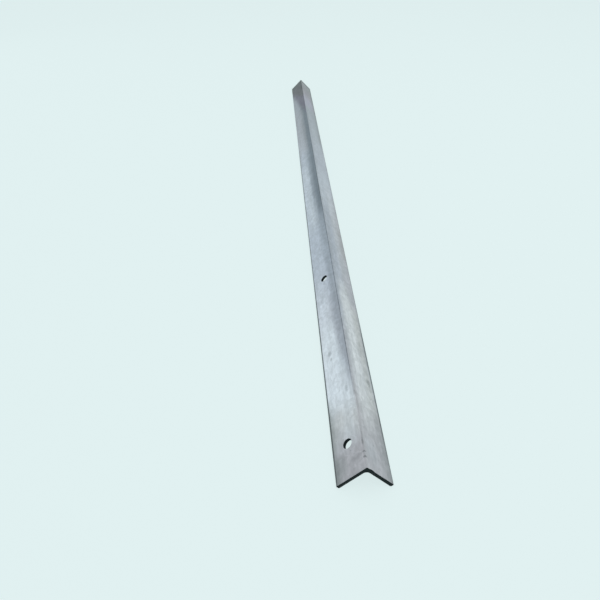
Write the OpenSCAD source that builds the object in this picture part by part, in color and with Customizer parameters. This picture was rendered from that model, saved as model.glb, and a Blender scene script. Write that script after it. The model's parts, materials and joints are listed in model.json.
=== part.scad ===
// Hot-rolled equal-leg steel angle with two bolt holes in one leg.
// It lies heel up on its toes, with its length along Y and the drilled end at -Y.
// The origin is on the floor, halfway along the bar and midway between the toes.

/* [Rolled section] */
// Width of each leg, from the heel to the toe
leg_width = 50; // [40:1:120]
// Thickness of both legs
leg_thickness = 5; // [4:0.5:10]
// Radius of the fillet in the root, between the inner faces
root_radius = 5.5; // [2:0.5:11]
// Radius on the inner edge of each toe
toe_radius = 1.7; // [0.5:0.1:4.5]
// Radius on the outer corner of the heel
heel_radius = 1; // [0.2:0.1:3]

/* [Bar] */
// Length between the sawn ends
bar_length = 1800; // [600:10:6000]

/* [Bolt holes] */
// Diameter of each hole
hole_diameter = 14; // [6:0.5:22]
// Distance from the heel to the line of the holes
hole_gauge = 24; // [20:0.5:38]
// Distance from the drilled end to the first hole
end_distance = 50; // [10:1:200]
// Distance from each hole to the next
hole_pitch = 380; // [30:1:1600]
// Number of holes
hole_count = 2; // [1:1:4]

/* [Hidden] */
$fn = 96;

// Half of the right angle between the legs, which is each leg's slope to the floor
leg_slope = 45;
// Reach of a cutting tool past each face that it cuts
tool_overrun = 1;
// Height of the heel's sharp corner when both toe curves rest on the floor
heel_height = (leg_width + leg_thickness - 2 * toe_radius) * sin(leg_slope) + toe_radius;

// The patch between a square corner at the origin and the arc tangent to both its sides
module corner_patch(radius) {
    difference() {
        square(radius);
        translate([radius, radius]) circle(radius);
    }
}

// One leg's strip along +X, with its outer face on the X axis and its toe rounded inside
module leg_strip() {
    difference() {
        square([leg_width, leg_thickness]);
        translate([leg_width, leg_thickness]) rotate(180) corner_patch(toe_radius);
    }
}

// The rolled section, with the heel at the origin and the legs along +X and +Y
module rolled_section() {
    difference() {
        union() {
            leg_strip();
            mirror([1, -1]) leg_strip();
            translate([leg_thickness, leg_thickness]) corner_patch(root_radius);
        }
        corner_patch(heel_radius);
    }
}

// The row of holes through the leg along +Y, counted from the drilled end
module bolt_holes() {
    for (i = [0 : hole_count - 1])
        translate([-tool_overrun, hole_gauge, end_distance + i * hole_pitch])
            rotate([0, 90, 0])
                cylinder(d = hole_diameter, h = leg_thickness + 2 * tool_overrun);
}

// Turns a bar drawn along +Z from its heel, so that it lies heel up along Y on its toes
module lay_heel_up() {
    translate([0, -bar_length / 2, heel_height])
        rotate([-90, 0, 0])
            rotate([0, 0, leg_slope])
                children();
}

module steel_angle() {
    color("silver")
        lay_heel_up()
            difference() {
                linear_extrude(bar_length) rolled_section();
                bolt_holes();
            }
}

steel_angle();
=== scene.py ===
"""Dresses a hot-rolled steel angle: a galvanised bar, sawn at both ends and drilled through one leg."""
import json
import math
from collections import namedtuple

import bmesh
import bpy
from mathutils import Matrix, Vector


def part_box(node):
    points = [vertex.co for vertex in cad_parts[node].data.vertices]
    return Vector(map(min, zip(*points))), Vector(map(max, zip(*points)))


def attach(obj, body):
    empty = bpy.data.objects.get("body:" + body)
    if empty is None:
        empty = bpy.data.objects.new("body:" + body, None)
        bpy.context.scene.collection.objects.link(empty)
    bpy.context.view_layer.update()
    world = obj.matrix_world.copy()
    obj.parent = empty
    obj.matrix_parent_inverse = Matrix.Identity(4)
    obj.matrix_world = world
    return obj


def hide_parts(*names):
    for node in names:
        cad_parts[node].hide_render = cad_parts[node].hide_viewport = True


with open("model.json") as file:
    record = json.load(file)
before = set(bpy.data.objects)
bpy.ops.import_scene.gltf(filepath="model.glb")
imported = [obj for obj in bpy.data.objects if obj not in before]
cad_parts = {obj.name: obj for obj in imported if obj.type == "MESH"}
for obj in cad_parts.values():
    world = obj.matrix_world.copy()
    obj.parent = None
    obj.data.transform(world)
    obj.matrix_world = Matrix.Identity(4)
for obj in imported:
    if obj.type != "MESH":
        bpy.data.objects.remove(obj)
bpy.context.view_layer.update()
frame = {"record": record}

MM_PER_M = 1000

# Sizes of the bar, in metres, from the frame. SLANT is the share of a length on a leg that goes aside,
# and also the share that goes down
BAR_LOW, BAR_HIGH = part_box("steel_angle")
BAR_LENGTH = BAR_HIGH.y - BAR_LOW.y
LEG_SLOPE = math.radians(45)
SLANT = math.sin(LEG_SLOPE)
LEG_WIDTH = (BAR_HIGH.x - BAR_LOW.x) / (2 * SLANT)
MOUNTS = {mount["name"]: mount for mount in frame["record"]["mounts"]}
HOLES = [MOUNTS["end_bolt_hole"], MOUNTS["inboard_bolt_hole"]]
HOLE_RADIUS = HOLES[0]["dims"]["r_mm"] / MM_PER_M
LEG_THICKNESS = HOLES[0]["dims"]["length_mm"] / MM_PER_M
HOLE_ALONG = [hole["pos_m"][1] - BAR_LOW.y for hole in HOLES]
FACE_X, _, FACE_Z = MOUNTS["plain_leg_outer_face"]["pos_m"]
HEEL_HEIGHT = FACE_Z + FACE_X
HOLE_GAUGE = (HEEL_HEIGHT - HOLES[0]["pos_m"][2]) / SLANT - LEG_THICKNESS / 2

# Radii of the rolled section, in metres. The toes rest on the floor, so the heel's height gives theirs
ROOT_RADIUS = 0.0055
HEEL_RADIUS = 0.001
SQUARE_HEIGHT = (LEG_WIDTH + LEG_THICKNESS) * SLANT
TOE_RADIUS = (SQUARE_HEIGHT - HEEL_HEIGHT) / (2 * SLANT - 1)

# Softened edges, in metres
TOE_ARRIS = 0.0006
SAWN_ARRIS = 0.0003
HOLE_ARRIS = 0.0004

# Number of flat steps in each round, and the angle under which neighbours are shaded as one
ROOT_STEPS = 9
HEEL_STEPS = 4
TOE_STEPS = 5
ARRIS_STEPS = 3
SAWN_STEPS = 2
SMOOTH_ANGLE = math.radians(35)

# Layout of the mesh: a square field of cells round each hole, and plain stretches between, in metres
FIELD_HALF = 0.011
FIELD_CELLS = 10
FIELD_RINGS = 2
CELL_ALONG = 0.004
LONGEST_STRETCH = 0.3

# Number of cells across a leg from its field to the heel, the root, and the outer and inner toe edges
HEEL_CELLS = 5
ROOT_CELLS = 2
OUTER_TOE_CELLS = 6
INNER_TOE_CELLS = 5

# Distances under which two places count as one, and under which vertices are welded, in metres
TOUCH = 1e-5
WELD = 1e-6

# Relief of the zinc coat, in metres: the size of its waves and how far they stand out
COAT_WAVES = ((0.060, 0.00028), (0.022, 0.00007))

# Distances from the floor and from the sawn ends between which the waves rise from none to full, in metres
WAVES_FROM = 0.001
WAVES_FULL = 0.006

# Burr that the saw left on the drilled end, in metres: its place on the plain leg, its half sizes across,
# along and above the leg, and how far its crest leans to the heel
BURR_ACROSS = 0.0092
BURR_DEPTH = 0.0002
BURR_HALF_SIZES = (0.0048, 0.0008, 0.0011)
BURR_LEAN = 0.0016
BURR_SEGMENTS = 24
BURR_RINGS = 16

# Width under which slivers left by joining the burr are dissolved, in metres
SLIVER = 1e-5

# Bare steel, painted near-black for shade: how far a face of a sawn edge turns to the end, and the slack
# round a bore, in metres
CUT_FACING = 0.3
HOLE_SLACK = 1e-4


def select_only(piece):
    bpy.ops.object.select_all(action="DESELECT")
    piece.select_set(True)
    bpy.context.view_layer.objects.active = piece


def pick(piece, kind, wanted):
    """In edit mode, selects only the vertices, edges or faces that wanted says yes to."""
    bpy.ops.mesh.select_mode(type=kind)
    bpy.ops.mesh.select_all(action="DESELECT")
    mesh = bmesh.from_edit_mesh(piece.data)
    elements = {"VERT": mesh.verts, "EDGE": mesh.edges, "FACE": mesh.faces}[kind]
    for element in elements:
        if wanted(element):
            element.select_set(True)
    mesh.select_flush_mode()
    bmesh.update_edit_mesh(piece.data)


def near(a, b):
    return abs(a - b) < TOUCH


def middle(edge):
    return (edge.verts[0].co + edge.verts[1].co) / 2


def extrude_edges(x=0.0, y=0.0, z=0.0):
    bpy.ops.mesh.extrude_edges_move(TRANSFORM_OT_translate={"value": (x, y, z)})


def round_corner(piece, x, y, radius, steps):
    """Rounds the section's corner at x, y."""
    pick(piece, "VERT", lambda v: near(v.co.x, x) and near(v.co.y, y))
    bpy.ops.mesh.bevel(offset=radius, segments=steps, affect="VERTICES", clamp_overlap=False)


def split_side(piece, low, high, parts):
    """Cuts the section's straight sides between two distances from the heel into equal parts."""
    def wanted(edge):
        first, last = sorted(max(v.co.x, v.co.y) for v in edge.verts)
        return near(first, low) and near(last, high)

    pick(piece, "EDGE", wanted)
    bpy.ops.mesh.subdivide(number_cuts=parts - 1)


def draw_section():
    """The rolled section as a closed outline, with the heel at the origin and the legs along +X and +Y."""
    field = (HOLE_GAUGE - FIELD_HALF, HOLE_GAUGE + FIELD_HALF)
    half = LEG_THICKNESS / 2
    bpy.ops.object.select_all(action="DESELECT")
    bpy.ops.mesh.primitive_plane_add(size=LEG_THICKNESS, location=(half, half, 0))
    bar = bpy.context.object
    bar.name = "galvanised_angle"
    bpy.ops.object.transform_apply(location=True)
    bpy.ops.object.mode_set(mode="EDIT")
    stations = (LEG_THICKNESS, *field, LEG_WIDTH)
    for start, end in zip(stations, stations[1:]):
        pick(bar, "EDGE", lambda e: all(near(v.co.x, start) for v in e.verts))
        extrude_edges(x=end - start)
    for start, end in zip(stations, stations[1:]):
        pick(bar, "EDGE", lambda e: all(near(v.co.y, start) and v.co.x < LEG_THICKNESS + TOUCH
                                        for v in e.verts))
        extrude_edges(y=end - start)
    bpy.ops.mesh.select_mode(type="FACE")
    bpy.ops.mesh.select_all(action="SELECT")
    bpy.ops.mesh.dissolve_faces()
    pick(bar, "VERT", lambda v: near(v.co.x + v.co.y, LEG_THICKNESS))
    bpy.ops.mesh.dissolve_verts()
    round_corner(bar, LEG_THICKNESS, LEG_THICKNESS, ROOT_RADIUS, ROOT_STEPS)
    round_corner(bar, 0, 0, HEEL_RADIUS, HEEL_STEPS)
    for x, y in ((LEG_WIDTH, LEG_THICKNESS), (LEG_THICKNESS, LEG_WIDTH)):
        round_corner(bar, x, y, TOE_RADIUS, TOE_STEPS)
    for x, y in ((LEG_WIDTH, 0), (0, LEG_WIDTH)):
        round_corner(bar, x, y, TOE_ARRIS, ARRIS_STEPS)
    bpy.ops.mesh.select_mode(type="FACE")
    bpy.ops.mesh.select_all(action="SELECT")
    bpy.ops.mesh.delete(type="ONLY_FACE")
    split_side(bar, *field, FIELD_CELLS)
    split_side(bar, HEEL_RADIUS, field[0], HEEL_CELLS)
    split_side(bar, LEG_THICKNESS + ROOT_RADIUS, field[0], ROOT_CELLS)
    split_side(bar, field[1], LEG_WIDTH - TOE_ARRIS, OUTER_TOE_CELLS)
    split_side(bar, field[1], LEG_WIDTH - TOE_RADIUS, INNER_TOE_CELLS)
    return bar


def plain_stretches(start, end):
    """Cuts a length without holes into equal stretches."""
    count = math.ceil((end - start) / LONGEST_STRETCH)
    length = (end - start) / count
    cells = round(length / CELL_ALONG)
    return [(start + i * length, start + (i + 1) * length, cells) for i in range(count)]


def stretches():
    """Start, end and number of cells of each stretch along the bar."""
    found = []
    start = 0.0
    for along in HOLE_ALONG:
        found += plain_stretches(start, along - FIELD_HALF)
        found.append((along - FIELD_HALF, along + FIELD_HALF, FIELD_CELLS))
        start = along + FIELD_HALF
    return found + plain_stretches(start, BAR_LENGTH)


def draw_out(bar):
    """Draws the section out along +Z, then cuts each stretch into its cells."""
    bpy.ops.mesh.select_mode(type="EDGE")
    bpy.ops.mesh.select_all(action="SELECT")
    for start, end, _ in stretches():
        extrude_edges(z=end - start)
    for start, end, cells in stretches():
        pick(bar, "EDGE", lambda e: near(abs(e.verts[0].co.z - e.verts[1].co.z), end - start)
             and near(middle(e).z, (start + end) / 2))
        bpy.ops.mesh.subdivide(number_cuts=cells - 1)


def saw_ends(bar):
    """Closes both ends and softens the edges that the saw left."""
    for z in (0.0, BAR_LENGTH):
        pick(bar, "EDGE", lambda e: all(near(v.co.z, z) for v in e.verts))
        bpy.ops.mesh.edge_face_add()
        pick(bar, "EDGE", lambda e: all(near(v.co.z, z) for v in e.verts))
        bpy.ops.mesh.bevel(offset=SAWN_ARRIS, segments=SAWN_STEPS, affect="EDGES", clamp_overlap=False)


def off_axis(place, along):
    """Distance of a place from the axis of the hole that is that far along the bar."""
    return math.hypot(place.y - HOLE_GAUGE, place.z - along)


def drill_hole(bar, along):
    """Sets a bore in the drilled leg, opens a square field round it on both faces, and joins the two."""
    bpy.ops.mesh.select_all(action="DESELECT")
    bpy.ops.mesh.primitive_cylinder_add(vertices=4 * FIELD_CELLS, radius=HOLE_RADIUS, depth=LEG_THICKNESS,
                                        end_fill_type="NOTHING", rotation=(0, math.pi / 2, 0),
                                        location=(LEG_THICKNESS / 2, HOLE_GAUGE, along))
    for x in (0.0, LEG_THICKNESS):
        pick(bar, "FACE", lambda f: all(near(v.co.x, x) and abs(v.co.y - HOLE_GAUGE) < FIELD_HALF + TOUCH
                                        and abs(v.co.z - along) < FIELD_HALF + TOUCH for v in f.verts))
        bpy.ops.mesh.delete(type="FACE")
        pick(bar, "EDGE", lambda e: len(e.link_faces) < 2 and near(middle(e).x, x)
             and off_axis(middle(e), along) < 2 * FIELD_HALF)
        bpy.ops.mesh.bridge_edge_loops(number_cuts=FIELD_RINGS, interpolation="LINEAR")
    for x in (0.0, LEG_THICKNESS):
        pick(bar, "EDGE", lambda e: all(near(v.co.x, x) and near(off_axis(v.co, along), HOLE_RADIUS)
                                        for v in e.verts))
        bpy.ops.mesh.bevel(offset=HOLE_ARRIS, segments=ARRIS_STEPS, affect="EDGES", clamp_overlap=False)


def lay_heel_up(bar):
    """Turns the bar from its drawing position so that it lies along Y on its toes."""
    bpy.ops.object.mode_set(mode="OBJECT")
    select_only(bar)
    bar.rotation_mode = "ZYX"
    bar.rotation_euler = (-math.pi / 2, 0, LEG_SLOPE)
    bar.location = (0, BAR_LOW.y, HEEL_HEIGHT)
    bpy.ops.object.transform_apply(location=True, rotation=True, scale=True)
    bar.rotation_mode = "XYZ"


def make_bar():
    """Rolls, saws and drills the bar, and lays it down."""
    bar = draw_section()
    draw_out(bar)
    saw_ends(bar)
    for along in HOLE_ALONG:
        drill_hole(bar, along)
    bpy.ops.mesh.select_mode(type="FACE")
    bpy.ops.mesh.select_all(action="SELECT")
    bpy.ops.mesh.remove_doubles(threshold=WELD)
    bpy.ops.mesh.normals_make_consistent(inside=False)
    lay_heel_up(bar)
    return bar


def dip_in_zinc(bar):
    """Gives the faces the faint waves of a coat that froze as the bar was drawn from the bath."""
    select_only(bar)
    waved = bar.vertex_groups.new(name="waved")
    for vertex in bar.data.vertices:
        _, along, height = vertex.co
        clear = min(height, along - BAR_LOW.y, BAR_HIGH.y - along)
        share = (clear - WAVES_FROM) / (WAVES_FULL - WAVES_FROM)
        waved.add([vertex.index], min(max(share, 0.0), 1.0), "REPLACE")
    for size, height in COAT_WAVES:
        waves = bpy.data.textures.new("zinc_waves", "CLOUDS")
        waves.noise_scale = size
        waves.noise_depth = 1
        ripple = bar.modifiers.new("zinc_waves", "DISPLACE")
        ripple.texture = waves
        ripple.texture_coords = "LOCAL"
        ripple.mid_level = 0.5
        ripple.strength = height
        ripple.vertex_group = waved.name
        bpy.ops.object.modifier_apply(modifier=ripple.name)
    bar.vertex_groups.clear()


def leave_burr(bar):
    """Joins a burr of steel to the upper edge of the drilled end, beside the heel on the plain leg."""
    aside = SLANT * (BURR_ACROSS - BURR_DEPTH)
    drop = SLANT * (BURR_ACROSS + BURR_DEPTH)
    lean = SLANT * BURR_LEAN
    bpy.ops.object.select_all(action="DESELECT")
    bpy.ops.mesh.primitive_uv_sphere_add(segments=BURR_SEGMENTS, ring_count=BURR_RINGS,
                                         scale=BURR_HALF_SIZES, rotation=(0, LEG_SLOPE, 0),
                                         location=(aside, BAR_LOW.y, HEEL_HEIGHT - drop))
    burr = bpy.context.object
    bpy.ops.object.transform_apply(location=True, rotation=True, scale=True)
    bpy.ops.object.mode_set(mode="EDIT")
    crest = max(v.co.x + v.co.z for v in burr.data.vertices)
    pick(burr, "VERT", lambda v: near(v.co.x + v.co.z, crest))
    bpy.ops.transform.translate(value=(-lean, 0, lean), use_proportional_edit=True,
                                proportional_edit_falloff="SMOOTH", proportional_size=BURR_HALF_SIZES[0])
    bpy.ops.object.mode_set(mode="OBJECT")
    select_only(bar)
    union = bar.modifiers.new("burr", "BOOLEAN")
    union.operation = "UNION"
    union.object = burr
    bpy.ops.object.modifier_apply(modifier=union.name)
    bpy.data.objects.remove(burr)
    bpy.ops.object.mode_set(mode="EDIT")
    bpy.ops.mesh.select_mode(type="VERT")
    bpy.ops.mesh.select_all(action="SELECT")
    bpy.ops.mesh.dissolve_degenerate(threshold=SLIVER)
    pick(bar, "FACE", lambda f: len(f.verts) > 4)
    bpy.ops.mesh.quads_convert_to_tris(ngon_method="BEAUTY")
    bpy.ops.object.mode_set(mode="OBJECT")


class Finish:
    """A material, with a short word for each kind of node in it. Sizes are in millimetres."""

    def __init__(self, name):
        self.material = bpy.data.materials.new(name)
        self.material.use_nodes = True
        self.tree = self.material.node_tree
        self.shader = self.tree.nodes["Principled BSDF"]
        self.place = self.node("ShaderNodeTexCoord").outputs["Object"]

    def node(self, kind, **settings):
        made = self.tree.nodes.new(kind)
        for name, value in settings.items():
            setattr(made, name, value)
        return made

    def feed(self, socket, value):
        """Links an output to a socket, or writes a plain value there."""
        if isinstance(value, bpy.types.NodeSocket):
            self.tree.links.new(value, socket)
        else:
            socket.default_value = value

    def math(self, operation, a, b=0.0):
        made = self.node("ShaderNodeMath", operation=operation)
        self.feed(made.inputs[0], a)
        self.feed(made.inputs[1], b)
        return made.outputs[0]

    def product(self, *factors):
        result = factors[0]
        for factor in factors[1:]:
            result = self.math("MULTIPLY", result, factor)
        return result

    def rest(self, share):
        """What a share leaves of 1."""
        return self.math("SUBTRACT", 1.0, share)

    def swing(self, noise, reach):
        """A noise about 0.5, turned into a swing about 0 of that reach to each side."""
        return self.math("MULTIPLY", self.math("SUBTRACT", noise, 0.5), 2 * reach)

    def ramp(self, value, start, end, low=0.0, high=1.0):
        """Goes smoothly from low to high while value goes from start to end."""
        made = self.node("ShaderNodeMapRange", interpolation_type="SMOOTHSTEP")
        for socket, given in zip(made.inputs, (value, start, end, low, high)):
            self.feed(socket, given)
        return made.outputs[0]

    def band(self, value, start, end, soft):
        """1 between start and end, fading to 0 over a soft edge at each."""
        rise = self.ramp(value, start - soft / 2, start + soft / 2)
        fall = self.ramp(value, end - soft / 2, end + soft / 2, 1.0, 0.0)
        return self.product(rise, fall)

    def mix(self, factor, a, b, blend="MIX"):
        made = self.node("ShaderNodeMix", data_type="RGBA", blend_type=blend)
        for socket, given in ((made.inputs[0], factor), (made.inputs[6], a), (made.inputs[7], b)):
            self.feed(socket, given)
        return made.outputs[2]

    def spread(self, stretch, shift):
        """The place on the bar, stretched along it and shifted so that no two patterns coincide."""
        made = self.node("ShaderNodeMapping")
        self.feed(made.inputs["Vector"], self.place)
        self.feed(made.inputs["Location"], (shift, shift, shift))
        self.feed(made.inputs["Scale"], (1, 1 / stretch, 1))
        return made.outputs[0]

    def noise(self, clouds):
        """Cloudy noise about 0.5."""
        made = self.node("ShaderNodeTexNoise")
        self.feed(made.inputs["Vector"], self.spread(clouds.stretch, clouds.shift))
        self.feed(made.inputs["Scale"], MM_PER_M / clouds.size)
        self.feed(made.inputs["Detail"], clouds.detail)
        return made.outputs[0]

    def crystals(self, cells, output):
        """Crystal cells: the Distance from each one's middle or its own random Color."""
        made = self.node("ShaderNodeTexVoronoi")
        self.feed(made.inputs["Vector"], self.spread(1, cells.shift))
        self.feed(made.inputs["Scale"], MM_PER_M / cells.size)
        return made.outputs[output]

    def bump(self, height, distance, strength):
        made = self.node("ShaderNodeBump")
        self.feed(made.inputs["Height"], height)
        self.feed(made.inputs["Distance"], distance)
        self.feed(made.inputs["Strength"], strength)
        self.feed(self.shader.inputs["Normal"], made.outputs[0])


Places = namedtuple("Places", "along across depth drilled height")
Clouds = namedtuple("Clouds", "size detail stretch shift")
Cells = namedtuple("Cells", "size shift")
Patch = namedtuple("Patch", "leg along across lean colour strength")
Mark = namedtuple("Mark", "leg along across length width strength")

# Patterns: sizes in millimetres, the detail of clouds and how far they stretch along the bar, and shifts
MOTTLE = Clouds(10, 5, 3, 1.3)
GRAIN = Clouds(3, 3, 3, 2.9)
ROLL_STREAKS = Clouds(5, 3, 30, 4.1)
ALONG_DRIFT = Clouds(60, 2, 1, 3.1)
ACROSS_DRIFT = Clouds(40, 2, 1, 7.7)
MARK_RIM = Clouds(2.5, 2, 1, 5.3)
SAW_WOBBLE = Clouds(6, 2, 1, 9.7)
GRIME = Clouds(4, 5, 1, 10.9)
SPANGLE = Cells(7, 6.1)
SPECKS = Cells(16, 8.3)

# Values that clouds seldom pass
CLOUDS_LOW = 0.25
CLOUDS_HIGH = 0.75

# How far each pattern of the zinc lightens and darkens it
MOTTLE_TONE = 0.09
GRAIN_TONE = 0.08
STREAK_TONE = 0.06
SPANGLE_TONE = 0.05

# Specks: where they start and stop fading, as shares of a cell, and their strength
SPECK_FADE = (0.05, 0.09)
SPECK_STRENGTH = 0.25

# How the zinc shines, with its roughness from the lows of its mottle to the highs, and what its grain adds
ZINC_METALLIC = 0.85
ZINC_ROUGHNESS = (0.40, 0.52)
GRAIN_ROUGHNESS = 0.06

# Shares of the grain and the streaks in the zinc's bump, and its distance in metres and its strength
GRAIN_RELIEF = 0.35
STREAK_RELIEF = 0.4
ZINC_BUMP = (0.0006, 0.25)

# Cut steel: the depth of the sawn ends and its soft edge in millimetres, and the reach of the saw's wobble.
# Saw lines and drill rings are in radians for each millimetre
END_DEPTH = 2
END_SOFT = 0.5
WOBBLE_REACH = 0.6
SAW_LINES = 9.0
DRILL_RINGS = 14.0

# Cut steel: where its grime and its lines start and stop wearing it bright, and by how much
GRIME_WEAR = (0.45, 0.75, 0.0, 0.6)
LINE_WEAR = (0.3, 1.0, 0.0, 0.25)

# How the cut steel shines, with its roughness from little grime to much, and its bump as above
STEEL_SPECULAR = 0.1
STEEL_ROUGHNESS = (0.3, 0.7, 0.5, 0.75)
LINE_RELIEF = 0.5
STEEL_BUMP = (0.0003, 0.4)

# A patch edge softer than FINE_EDGE wanders, as far as the reaches say, and a finer one keeps to its line.
# All are in millimetres
FINE_EDGE = 4
ALONG_REACH = 25
ACROSS_REACH = 3

# Marks: where they start and stop fading, as a squared share of their sizes, and how ragged they are
MARK_FADE = (-0.3, 1.5)
MARK_RAGGED = 0.8

# Depths below a leg's outer face between which its patches and marks fade out, in millimetres
SKIN_FULL = 1.0
SKIN_NONE = 2.4

# Colours of the zinc and of the cut steel
ZINC_GREY = (0.455, 0.46, 0.515, 1)
BLUE_ZINC = (0.47, 0.50, 0.575, 1)
# Lighter zinc, and in the bloom on the drilled leg a painted reflection
BRIGHT_ZINC_AND_SHEEN = (0.66, 0.68, 0.73, 1)
PALE_ZINC = (0.70, 0.685, 0.70, 1)
CLEAN_GREY = (0.56, 0.545, 0.54, 1)
SOFT_GREY = (0.50, 0.49, 0.495, 1)
WARM_ZINC = (0.475, 0.445, 0.465, 1)
LILAC_ZINC = (0.41, 0.375, 0.455, 1)
# Painted shade, darker along the heels and towards the far end
DULL_SHADE = (0.122, 0.146, 0.178, 1)
MAUVE_ZINC = (0.41, 0.385, 0.41, 1)
DARK_MAUVE = (0.138, 0.116, 0.165, 1)
# Painted shade near the toes
TOE_SHADE = (0.20, 0.215, 0.215, 1)
TAN_STAIN = (0.16, 0.135, 0.10, 1)
BROWN_STAIN = (0.105, 0.100, 0.106, 1)
# Darker and greener towards the far end
DARK_GREEN = (0.08, 0.092, 0.092, 1)
# Dark specks and marks, and painted shade along the toes and the heel
SMUT_AND_SHADE = (0.035, 0.045, 0.046, 1)
# Near-black: painted shade on the bare steel of the sawn ends, the burr and the bores
SHADED_CUT_STEEL = (0.006, 0.012, 0.012, 1)
WORN_SHADED_STEEL = (0.018, 0.026, 0.027, 1)

DRILLED, PLAIN, BOTH = "drilled", "plain", "both"

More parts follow.
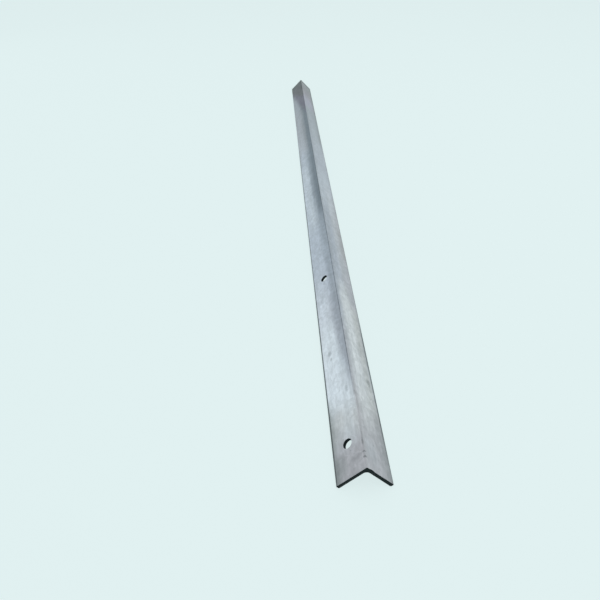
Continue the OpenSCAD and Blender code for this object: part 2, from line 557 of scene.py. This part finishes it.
# Tone patches of the zinc, in millimetres along the bar and across the leg: start, end and soft edge,
# and how far the edges across the leg lean for each millimetre along
PATCHES = (
    # Drilled leg. The bright patches up to 400 mm are a painted reflection, and the dull and toe-grey
    # patches are painted shade along the heel, at the toes and towards the far end
    Patch(DRILLED, (-60, 55, 60), (-40, 90, 10), 0.0, MAUVE_ZINC, 0.9),
    Patch(DRILLED, (55, 130, 60), (-40, 90, 10), 0.0, SOFT_GREY, 0.8),
    Patch(DRILLED, (45, 108, 40), (8, 25, 8), 0.0, BRIGHT_ZINC_AND_SHEEN, 0.25),
    Patch(DRILLED, (94, 150, 16), (-40, 90, 10), 0.0, BRIGHT_ZINC_AND_SHEEN, 0.37),
    Patch(DRILLED, (8, 34, 14), (30, 48, 10), 0.0, TOE_SHADE, 0.4),
    Patch(DRILLED, (380, 1150, 240), (-40, 90, 10), 0.0, BLUE_ZINC, 0.7),
    Patch(DRILLED, (150, 400, 200), (9, 90, 15), 0.06, BRIGHT_ZINC_AND_SHEEN, 0.47),
    Patch(DRILLED, (110, 290, 70), (-1, 90, 15), 0.125, BRIGHT_ZINC_AND_SHEEN, 0.75),
    Patch(DRILLED, (-60, 130, 70), (43, 90, 14), 0.0, TOE_SHADE, 0.68),
    Patch(DRILLED, (150, 760, 160), (-40, 9, 14), 0.02, DULL_SHADE, 0.37),
    Patch(DRILLED, (170, 330, 80), (9, 22, 8), 0.0, DULL_SHADE, 0.12),
    Patch(DRILLED, (560, 720, 80), (-40, 7, 8), 0.0, DULL_SHADE, 0.18),
    Patch(DRILLED, (650, 980, 150), (24, 48, 8), 0.0, BRIGHT_ZINC_AND_SHEEN, 0.38),
    Patch(DRILLED, (682, 1900, 160), (-40, 19, 30), 0.006, DULL_SHADE, 0.85),
    Patch(DRILLED, (650, 760, 80), (14, 33, 10), 0.0, BRIGHT_ZINC_AND_SHEEN, 0.25),
    Patch(DRILLED, (1060, 1480, 160), (16, 90, 14), 0.0, WARM_ZINC, 0.3),
    Patch(DRILLED, (1150, 1900, 300), (-40, 90, 10), 0.0, DULL_SHADE, 0.2),
    Patch(DRILLED, (1350, 1640, 150), (40, 90, 12), 0.0, TOE_SHADE, 0.25),
    Patch(DRILLED, (1380, 1900, 60), (-400, 0, 22), 0.16, DARK_MAUVE, 0.85),
    Patch(DRILLED, (1570, 1900, 60), (-400, 0, 24), 0.35, BROWN_STAIN, 0.85),
    Patch(DRILLED, (1650, 1900, 60), (40, 90, 12), 0.0, DARK_GREEN, 0.25),
    Patch(DRILLED, (1690, 1800, 40), (-40, 7, 6), 0.0, SMUT_AND_SHADE, 0.5),
    Patch(DRILLED, (1766, 1900, 20), (-40, 90, 10), 0.0, DARK_GREEN, 0.65),
    # Plain leg. Its dull and toe-grey patches are painted shade along the heel, at the toes and towards the
    # far end
    Patch(PLAIN, (-60, 130, 80), (-40, 90, 10), 0.0, WARM_ZINC, 0.8),
    Patch(PLAIN, (18, 46, 16), (5, 24, 8), 0.0, BRIGHT_ZINC_AND_SHEEN, 0.18),
    Patch(PLAIN, (90, 280, 80), (-40, 9, 8), 0.0, WARM_ZINC, 0.5),
    Patch(PLAIN, (250, 800, 200), (24, 90, 14), 0.0, WARM_ZINC, 0.6),
    Patch(PLAIN, (100, 350, 60), (29, 46, 10), 0.0, CLEAN_GREY, 0.8),
    Patch(PLAIN, (82, 395, 90), (7.5, 32, 15), 0.0, PALE_ZINC, 0.83),
    Patch(PLAIN, (-60, 100, 60), (38, 90, 20), 0.0, TOE_SHADE, 0.4),
    Patch(PLAIN, (180, 300, 60), (43, 90, 10), 0.0, TOE_SHADE, 0.25),
    Patch(PLAIN, (280, 1790, 160), (-40, 6, 9), 0.0, DULL_SHADE, 0.18),
    Patch(PLAIN, (450, 720, 80), (7, 17, 6), 0.0, DULL_SHADE, 0.1),
    Patch(PLAIN, (440, 760, 120), (23, 40, 10), 0.0, BRIGHT_ZINC_AND_SHEEN, 0.22),
    Patch(PLAIN, (510, 640, 60), (36, 90, 12), 0.0, TAN_STAIN, 0.2),
    Patch(PLAIN, (725, 930, 90), (-40, 43, 14), 0.0, BRIGHT_ZINC_AND_SHEEN, 0.27),
    Patch(PLAIN, (1100, 1300, 150), (12, 34, 10), 0.0, BRIGHT_ZINC_AND_SHEEN, 0.2),
    Patch(PLAIN, (1150, 1900, 300), (-40, 90, 10), 0.0, TOE_SHADE, 0.3),
    Patch(PLAIN, (1480, 1710, 100), (-40, 90, 10), 0.0, LILAC_ZINC, 0.8),
    Patch(PLAIN, (1600, 1900, 120), (-40, 90, 10), 0.0, TAN_STAIN, 0.36),
    Patch(PLAIN, (1790, 1900, 20), (-40, 90, 10), 0.0, DARK_GREEN, 0.75),
    Patch(PLAIN, (1794, 1900, 12), (10, 90, 10), 0.0, SMUT_AND_SHADE, 0.5),
    Patch(PLAIN, (1150, 1760, 160), (40, 90, 12), 0.0, TOE_SHADE, 0.42),
    # Dark lines along the toes: painted shade at the toes' edges
    Patch(DRILLED, (40, 400, 120), (47.4, 90, 2.2), 0.0, SMUT_AND_SHADE, 0.58),
    Patch(DRILLED, (-60, 1150, 300), (47.8, 90, 2.0), 0.0, SMUT_AND_SHADE, 0.75),
    Patch(PLAIN, (60, 300, 80), (46.6, 90, 2.4), 0.0, SMUT_AND_SHADE, 0.6),
    Patch(PLAIN, (-60, 1200, 400), (48.0, 90, 1.8), 0.0, SMUT_AND_SHADE, 0.6),
    Patch(PLAIN, (1400, 1900, 160), (46.8, 90, 2.0), 0.0, SMUT_AND_SHADE, 0.8),
    # Dark lines along the heel: painted shade, which near the drilled end also damps the heel's highlight
    Patch(DRILLED, (130, 1150, 160), (-40, 1.8, 1.2), 0.0, SMUT_AND_SHADE, 0.45),
    Patch(BOTH, (-60, 70, 30), (-40, 1.4, 1.4), 0.0, SMUT_AND_SHADE, 0.22),
)

# Small marks, in millimetres along the bar and across the leg: middle, length and width of each
MARKS = (
    Mark(DRILLED, 229, 34, 6, 4.0, 0.45),
    Mark(DRILLED, 215, 32, 4, 2.4, 0.4),
    Mark(DRILLED, 141, 12, 9, 3.0, 0.3),
    Mark(DRILLED, 23, 14, 5, 9.0, 0.22),
    Mark(BOTH, 17, 1, 1.8, 2.4, 0.55),
    Mark(BOTH, 25, 1, 1.8, 2.4, 0.55),
    Mark(BOTH, 40, 0.5, 5, 1.8, 0.35),
    Mark(DRILLED, 1728, 5, 12, 2.5, 0.6),
    Mark(DRILLED, 1695, 5, 10, 2.5, 0.5),
    Mark(DRILLED, 372, 35, 12, 5.0, 0.12),
    Mark(PLAIN, 167, 38.5, 9, 5.0, 0.35),
    Mark(PLAIN, 256, 48, 8, 2.2, 0.5),
    Mark(PLAIN, 387, 30, 14, 4.0, 0.14),
)


def bar_places(finish):
    """Where a point is: along from the drilled end, across from the heel, below its leg's face and up."""
    axes = finish.node("ShaderNodeSeparateXYZ")
    finish.feed(axes.inputs[0], finish.place)
    x, y, z = axes.outputs
    aside = finish.math("ABSOLUTE", x)
    drop = finish.math("SUBTRACT", HEEL_HEIGHT, z)
    return Places(
        along=finish.math("MULTIPLY", finish.math("SUBTRACT", y, BAR_LOW.y), MM_PER_M),
        across=finish.math("MULTIPLY", finish.math("ADD", drop, aside), SLANT * MM_PER_M),
        depth=finish.math("MULTIPLY", finish.math("SUBTRACT", drop, aside), SLANT * MM_PER_M),
        drilled=finish.math("LESS_THAN", x, 0.0),
        height=finish.math("MULTIPLY", z, MM_PER_M),
    )


def leg_skins(finish, places):
    """For each choice of leg, 1 on its outer face and 0 on the rest of the bar."""
    outside = finish.ramp(places.depth, SKIN_FULL, SKIN_NONE, 1.0, 0.0)
    return {
        DRILLED: finish.product(outside, places.drilled),
        PLAIN: finish.product(outside, finish.rest(places.drilled)),
        BOTH: outside,
    }


def lay_patches(finish, places, skins, colour):
    """The colour with the tone patches on it, one over the other; some are painted reflection and painted
    shade.
    """
    along = finish.math("ADD", places.along, finish.swing(finish.noise(ALONG_DRIFT), ALONG_REACH))
    across = finish.math("ADD", places.across, finish.swing(finish.noise(ACROSS_DRIFT), ACROSS_REACH))
    for patch in PATCHES:
        run = finish.math("SUBTRACT", along, patch.along[0])
        leant = finish.math("SUBTRACT", across if patch.across[2] > FINE_EDGE else places.across,
                            finish.math("MULTIPLY", run, patch.lean))
        cover = finish.product(finish.band(along, *patch.along), finish.band(leant, *patch.across),
                               skins[patch.leg], patch.strength)
        colour = finish.mix(cover, colour, patch.colour)
    return colour


def lay_marks(finish, places, skins, colour):
    """The colour with the small dark marks on it, each an oval with a ragged rim."""
    ragged = finish.swing(finish.noise(MARK_RIM), MARK_RAGGED)
    for mark in MARKS:
        long_way = finish.math("DIVIDE", finish.math("SUBTRACT", places.along, mark.along), mark.length)
        wide_way = finish.math("DIVIDE", finish.math("SUBTRACT", places.across, mark.across), mark.width)
        away = finish.math("ADD", finish.product(long_way, long_way), finish.product(wide_way, wide_way))
        cover = finish.ramp(finish.math("ADD", away, ragged), *MARK_FADE, mark.strength, 0.0)
        colour = finish.mix(finish.product(cover, skins[mark.leg]), colour, SMUT_AND_SHADE)
    return colour


def galvanised_zinc():
    """Dull zinc grey with faint spangle, mottling and roll streaks, and its patches and marks, some of them
    painted reflection and painted shade.
    """
    finish = Finish("galvanised_zinc")
    places = bar_places(finish)
    mottle = finish.noise(MOTTLE)
    grain = finish.noise(GRAIN)
    streaks = finish.noise(ROLL_STREAKS)
    spangle = finish.crystals(SPANGLE, "Color")
    specks = finish.ramp(finish.crystals(SPECKS, "Distance"), *SPECK_FADE, SPECK_STRENGTH, 0.0)
    skins = leg_skins(finish, places)
    colour = lay_patches(finish, places, skins, ZINC_GREY)
    tones = ((mottle, MOTTLE_TONE), (grain, GRAIN_TONE), (streaks, STREAK_TONE), (spangle, SPANGLE_TONE))
    for pattern, tone in tones:
        shade = finish.ramp(pattern, CLOUDS_LOW, CLOUDS_HIGH, 1 - tone, 1 + tone)
        colour = finish.mix(1.0, colour, shade, blend="MULTIPLY")
    colour = finish.mix(specks, colour, SMUT_AND_SHADE)
    colour = lay_marks(finish, places, skins, colour)
    finish.feed(finish.shader.inputs["Base Color"], colour)
    finish.feed(finish.shader.inputs["Metallic"], ZINC_METALLIC)
    rough = finish.math("ADD", finish.ramp(mottle, CLOUDS_LOW, CLOUDS_HIGH, *ZINC_ROUGHNESS),
                        finish.swing(grain, GRAIN_ROUGHNESS))
    finish.feed(finish.shader.inputs["Roughness"], rough)
    height = finish.math("ADD", finish.math("ADD", mottle, finish.math("MULTIPLY", grain, GRAIN_RELIEF)),
                         finish.math("MULTIPLY", streaks, STREAK_RELIEF))
    finish.bump(height, *ZINC_BUMP)
    return finish.material


def cut_steel():
    """Bare steel, painted nearly black for the shade on these faces, with saw lines on the ends and drill
    rings in the bores.
    """
    finish = Finish("cut_steel")
    places = bar_places(finish)
    far_start = BAR_LENGTH * MM_PER_M - END_DEPTH
    at_end = finish.rest(finish.band(places.along, END_DEPTH, far_start, END_SOFT))
    wobble = finish.math("MULTIPLY", finish.noise(SAW_WOBBLE), WOBBLE_REACH)
    wobbly_height = finish.math("ADD", places.height, wobble)
    saw = finish.math("SINE", finish.math("MULTIPLY", wobbly_height, SAW_LINES))
    rings = finish.math("SINE", finish.math("MULTIPLY", places.depth, DRILL_RINGS))
    lines = finish.math("ADD", finish.product(saw, at_end), finish.product(rings, finish.rest(at_end)))
    grime = finish.noise(GRIME)
    worn = finish.math("ADD", finish.ramp(grime, *GRIME_WEAR), finish.ramp(lines, *LINE_WEAR))
    finish.feed(finish.shader.inputs["Base Color"], finish.mix(worn, SHADED_CUT_STEEL, WORN_SHADED_STEEL))
    finish.feed(finish.shader.inputs["Specular IOR Level"], STEEL_SPECULAR)
    finish.feed(finish.shader.inputs["Roughness"], finish.ramp(grime, *STEEL_ROUGHNESS))
    finish.bump(finish.math("ADD", finish.math("MULTIPLY", lines, LINE_RELIEF), grime), *STEEL_BUMP)
    return finish.material


def is_cut(face):
    """Says whether a face is bare steel, painted near-black for shade: on the burr, on a sawn end or in a
    bore.
    """
    centre = face.calc_center_median()
    from_end = min(centre.y - BAR_LOW.y, BAR_HIGH.y - centre.y)
    # The coat has no waves this close to an end, so what stands proud there is the burr
    proud = abs(centre.x) + centre.z - HEEL_HEIGHT
    if from_end < WAVES_FROM and max(proud, -from_end) > TOUCH:
        return True
    if from_end < SAWN_ARRIS:
        return abs(face.normal.y) > CUT_FACING
    across = (HEEL_HEIGHT - centre.z - centre.x) * SLANT
    depth = (HEEL_HEIGHT - centre.z + centre.x) * SLANT
    if centre.x >= 0 or not 0 < depth < LEG_THICKNESS:
        return False
    along = centre.y - BAR_LOW.y
    reach = HOLE_RADIUS + HOLE_SLACK
    return any(math.hypot(across - HOLE_GAUGE, along - hole) < reach for hole in HOLE_ALONG)


def dress(bar):
    """Zinc all over, and bare steel painted near-black for shade on the sawn ends, the burr and in the
    bores.
    """
    bar.data.materials.append(galvanised_zinc())
    bar.data.materials.append(cut_steel())
    select_only(bar)
    bpy.ops.object.mode_set(mode="EDIT")
    pick(bar, "FACE", is_cut)
    bar.active_material_index = 1
    bpy.ops.object.material_slot_assign()
    bpy.ops.object.mode_set(mode="OBJECT")
    bpy.ops.object.shade_smooth_by_angle(angle=SMOOTH_ANGLE)


# The stage: a pale floor and backdrop in the colour they show, the floor's half size in metres and the
# share of its colour that it glows with, and the light of the world around
MINT = (0.753, 0.874, 0.873, 1)
FLOOR_HALF = 25.0
FLOOR_GLOW = 0.87
WORLD_COLOUR = (0.93, 0.97, 1.0, 1)
WORLD_STRENGTH = 0.75


def seen_directly(tree):
    """1 for rays from the camera, and for rays that metal or glass sends on."""
    path = tree.nodes.new("ShaderNodeLightPath")
    seen = path.outputs["Is Camera Ray"]
    for name in ("Is Glossy Ray", "Is Transmission Ray"):
        either = tree.nodes.new("ShaderNodeMath")
        either.operation = "MAXIMUM"
        tree.links.new(seen, either.inputs[0])
        tree.links.new(path.outputs[name], either.inputs[1])
        seen = either.outputs[0]
    return seen


def join_by_ray(tree, lit, shown, share, output):
    """Joins two shaders: rays that see them directly find this share of shown, and all else is lit."""
    part = tree.nodes.new("ShaderNodeMath")
    part.operation = "MULTIPLY"
    part.inputs[1].default_value = share
    tree.links.new(seen_directly(tree), part.inputs[0])
    blend = tree.nodes.new("ShaderNodeMixShader")
    tree.links.new(part.outputs[0], blend.inputs[0])
    tree.links.new(lit.outputs[0], blend.inputs[1])
    tree.links.new(shown.outputs[0], blend.inputs[2])
    out = tree.nodes.new(output)
    tree.links.new(blend.outputs[0], out.inputs["Surface"])


def pale_floor():
    """A floor that mostly glows in its own colour, so that it is even, and takes a soft shadow besides."""
    material = bpy.data.materials.new("pale_floor")
    material.use_nodes = True
    tree = material.node_tree
    tree.nodes.clear()
    matt = tree.nodes.new("ShaderNodeBsdfDiffuse")
    matt.inputs["Color"].default_value = MINT
    glow = tree.nodes.new("ShaderNodeEmission")
    glow.inputs["Color"].default_value = MINT
    join_by_ray(tree, matt, glow, FLOOR_GLOW, "ShaderNodeOutputMaterial")
    bpy.ops.object.select_all(action="DESELECT")
    bpy.ops.mesh.primitive_plane_add(size=2 * FLOOR_HALF, location=(0, 0, 0))
    floor = bpy.context.object
    floor.name = "floor"
    floor.data.materials.append(material)


def soft_world():
    """Even studio light, with the same pale backdrop behind the floor's edge."""
    world = bpy.data.worlds.new("studio")
    world.use_nodes = True
    tree = world.node_tree
    tree.nodes.clear()
    light = tree.nodes.new("ShaderNodeBackground")
    light.inputs["Color"].default_value = WORLD_COLOUR
    light.inputs["Strength"].default_value = WORLD_STRENGTH
    backdrop = tree.nodes.new("ShaderNodeBackground")
    backdrop.inputs["Color"].default_value = MINT
    join_by_ray(tree, light, backdrop, 1.0, "ShaderNodeOutputWorld")
    bpy.context.scene.world = world


# Soft boxes: their places, what they aim at and their sizes, in metres, and their powers, in watts
SoftBox = namedtuple("SoftBox", "name place aim size power")
SOFT_BOXES = (
    SoftBox("overhead", (0.6, -0.4, 3.0), (0, -0.2, 0), 4.5, 48),
    SoftBox("far_left", (-2.2, 1.3, 0.9), (0, -0.65, 0), 1.4, 4),
)


def hang_lights():
    """Hangs the soft boxes, out of the camera's sight."""
    for box in SOFT_BOXES:
        bpy.ops.object.light_add(type="AREA", location=box.place)
        lamp = bpy.context.object
        lamp.name = box.name
        lamp.data.shape = "SQUARE"
        lamp.data.size = box.size
        lamp.data.energy = box.power
        lamp.rotation_euler = (Vector(box.aim) - lamp.location).to_track_quat("-Z", "Y").to_euler()
        lamp.visible_camera = False


# Camera, fitted to the corners and holes of the bar: place in metres, turns down and right in degrees,
# lens and sensor in millimetres, and how far it sees in metres
CAMERA_PLACE = (-0.0959, -1.2968, 0.5703)
CAMERA_DOWN = 35.79
CAMERA_RIGHT = 2.403
CAMERA_LENS = 32.4
CAMERA_SENSOR = 36
CAMERA_REACH = 200


def set_camera():
    """Sets the camera, which looks level along +Y before it turns."""
    bpy.ops.object.camera_add(location=CAMERA_PLACE,
                              rotation=(math.radians(90 - CAMERA_DOWN), 0, math.radians(-CAMERA_RIGHT)))
    camera = bpy.context.object
    camera.data.lens = CAMERA_LENS
    camera.data.sensor_width = CAMERA_SENSOR
    camera.data.clip_end = CAMERA_REACH
    bpy.context.scene.camera = camera


bar = make_bar()
dip_in_zinc(bar)
leave_burr(bar)
dress(bar)
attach(bar, "root")
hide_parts("steel_angle")
set_camera()
pale_floor()
soft_world()
hang_lights()
bpy.context.scene.view_settings.view_transform = "Standard"
